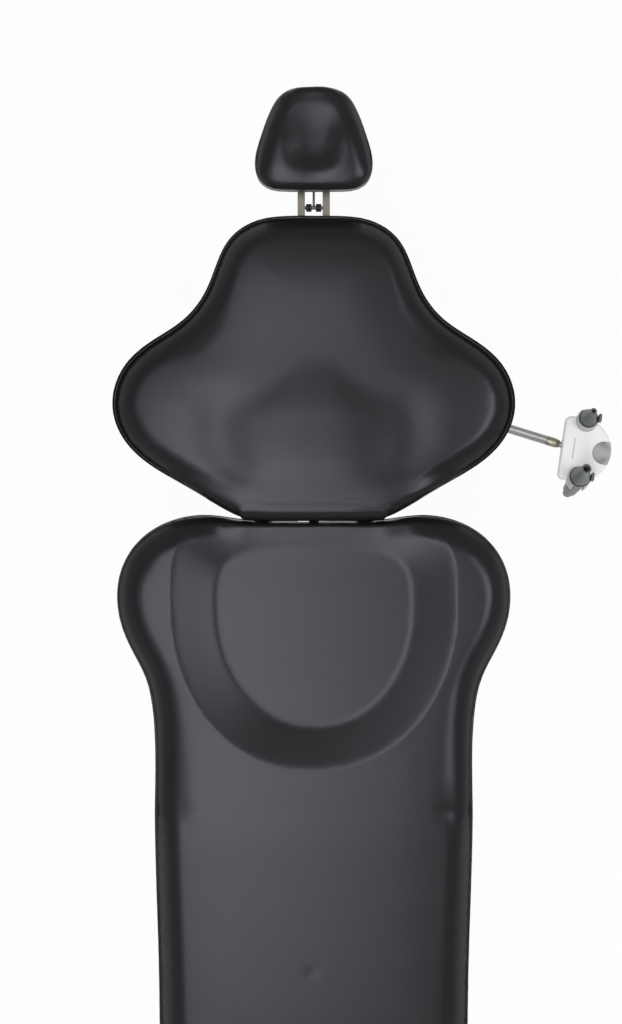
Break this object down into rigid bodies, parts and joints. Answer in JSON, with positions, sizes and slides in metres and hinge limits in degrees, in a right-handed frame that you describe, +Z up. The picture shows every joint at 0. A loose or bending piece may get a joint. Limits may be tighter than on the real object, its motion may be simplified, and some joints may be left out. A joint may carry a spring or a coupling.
{
  "type": "dental chair unit",
  "caption": "Flat-lying dental patient chair: black padded headrest, bell-shaped backrest and seat with leg rest on a lift column, with a swinging suction holder arm.",
  "frame": {"origin": "floor level under the middle of the lift column", "axes": "+Z up, +Y from the feet towards the head, +X to the side where the instrument arm rests"},
  "size_m": [0.8154, 1.7691, 0.608],
  "materials": {
    "black_upholstery": "satin",
    "white_plastic": "gloss",
    "light_grey_plastic": "satin",
    "button_grey": "satin",
    "dark_grey_plastic": "satin",
    "valve_grey": "satin",
    "satin_tube": "satin",
    "collar_nickel": "satin",
    "bar_nickel": "satin",
    "dark_collar": "matte",
    "column_aluminium": "satin",
    "frame_paint": "satin",
    "base_paint": "satin",
    "glide_polymer": "matte",
    "screw_steel": "satin",
    "bush_bronze": "satin",
    "actuator_metal": "satin",
    "black_plastic": "satin"
  },
  "bodies": {
    "base": {"floor_plate": "base_paint", "leveling_screws": "screw_steel", "base_cover": "white_plastic", "cover_screws": "screw_steel", "power_inlet": "black_plastic", "column_outer": "column_aluminium", "column_bolts": "screw_steel", "outer_glides": "glide_polymer", "lift_actuator": "actuator_metal", "control_box": "black_plastic"},
    "column_stage": {"column_middle": "column_aluminium", "middle_glides": "glide_polymer", "lift_mid_tube": "screw_steel"},
    "seat": {"column_inner": "column_aluminium", "lift_rod": "screw_steel", "column_top_plate": "frame_paint", "seat_rail_left": "frame_paint", "seat_rail_right": "frame_paint", "seat_pan": "frame_paint", "hinge_lugs": "frame_paint", "hinge_bushes": "bush_bronze", "lug_bolts": "screw_steel", "actuator_crossbar": "frame_paint", "actuator_pin": "screw_steel", "recline_actuator": "actuator_metal", "seat_cushion": "black_upholstery", "seat_shell": "white_plastic"},
    "recline_drive": {"recline_rod": "screw_steel"},
    "backrest": {"hinge_shaft": "screw_steel", "backrest_frame": "frame_paint", "recline_lever": "frame_paint", "lever_pin": "screw_steel", "backrest_cushion": "black_upholstery", "backrest_shell": "white_plastic", "shell_screws": "screw_steel", "headrest_guide": "black_plastic", "arm_pivot_post": "screw_steel", "pivot_cap": "light_grey_plastic"},
    "headrest_mount": {"headrest_bars": "bar_nickel", "cross_shaft": "bar_nickel", "shaft_collars": "dark_collar", "headrest_knuckle": "bar_nickel"},
    "headrest": {"headrest_plate": "frame_paint", "tilt_pin": "screw_steel", "headrest_cushion": "black_upholstery"},
    "headrest_lock": {"headrest_lever": "black_plastic"},
    "arm": {"arm_hub": "light_grey_plastic"},
    "arm_extension": {"arm_tube": "satin_tube", "tube_collar": "collar_nickel"},
    "arm_reach": {"arm_neck": "satin_tube"},
    "holder": {"holder_plate": "white_plastic", "holder_underside": "light_grey_plastic", "instrument_cups": "light_grey_plastic"},
    "button": {"thumb_button": "button_grey"},
    "hve": {"hve_handpiece": "dark_grey_plastic", "hve_nozzle": "dark_grey_plastic"},
    "hve_valve": {"hve_slider": "valve_grey"},
    "ejector": {"ejector_handpiece": "dark_grey_plastic", "ejector_nozzle": "dark_grey_plastic"},
    "ejector_valve": {"ejector_slider": "valve_grey"}
  },
  "joints": [
    {"name": "chair_lift", "type": "slide", "parent": "base", "child": "seat", "axis": [0, 0, 1], "range_m": [-0.14, 0.26]},
    {"name": "column_stage", "type": "slide", "parent": "base", "child": "column_stage", "axis": [0, 0, 1], "range_m": [-0.07, 0.13]},
    {"name": "backrest_recline", "type": "hinge", "parent": "seat", "child": "backrest", "pos_m": [0, 0.2195, 0.5725], "axis": [1, 0, 0], "range_deg": [0, 75]},
    {"name": "recline_drive", "type": "slide", "parent": "seat", "child": "recline_drive", "axis": [0, 1, 0], "range_m": [0, 0.1219]},
    {"name": "headrest_slide", "type": "slide", "parent": "backrest", "child": "headrest_mount", "axis": [0, 1, 0], "range_m": [-0.012, 0.1]},
    {"name": "headrest_tilt", "type": "hinge", "parent": "headrest_mount", "child": "headrest", "pos_m": [0, 0.79, 0.522], "axis": [1, 0, 0], "range_deg": [-30, 22]},
    {"name": "headrest_lock", "type": "hinge", "parent": "headrest", "child": "headrest_lock", "pos_m": [0.05, 0.79, 0.522], "axis": [-1, 0, 0], "range_deg": [0, 35]},
    {"name": "arm_swing", "type": "hinge", "parent": "backrest", "child": "arm", "pos_m": [0, 0.444, 0.491], "axis": [0, 0, 1], "range_deg": [0, 214.5]},
    {"name": "arm_extend", "type": "slide", "parent": "arm", "child": "arm_extension", "axis": [0.9553, -0.2957, 0], "range_m": [-0.033, 0.05]},
    {"name": "neck_extend", "type": "slide", "parent": "arm_extension", "child": "arm_reach", "axis": [0.9553, -0.2957, 0], "range_m": [0, 0.025]},
    {"name": "holder_swivel", "type": "hinge", "parent": "arm_reach", "child": "holder", "pos_m": [0.44229, 0.30709, 0.497], "axis": [0, 0, 1], "range_deg": [-40, 40]},
    {"name": "button_press", "type": "slide", "parent": "holder", "child": "button", "axis": [0, 0, -1], "range_m": [0, 0.0015], "stiffness_N_per_m": 1500, "springref_m": -0.0005},
    {"name": "hve_lift", "type": "slide", "parent": "holder", "child": "hve", "axis": [0.0304, 0.2057, 0.9781], "range_m": [0, 0.12]},
    {"name": "hve_valve", "type": "slide", "parent": "hve", "child": "hve_valve", "axis": [0.0304, 0.2057, 0.9781], "range_m": [0, 0.01]},
    {"name": "ejector_lift", "type": "slide", "parent": "holder", "child": "ejector", "axis": [0.0304, 0.2057, 0.9781], "range_m": [0, 0.115]},
    {"name": "ejector_valve", "type": "slide", "parent": "ejector", "child": "ejector_valve", "axis": [0.0304, 0.2057, 0.9781], "range_m": [0, 0.01]}
  ],
  "couplings": [
    {"joint": "column_stage", "follows": "chair_lift", "ratio": 0.5},
    {"joint": "recline_drive", "follows": "backrest_recline", "m_per_rad": 0.09304}
  ]
}
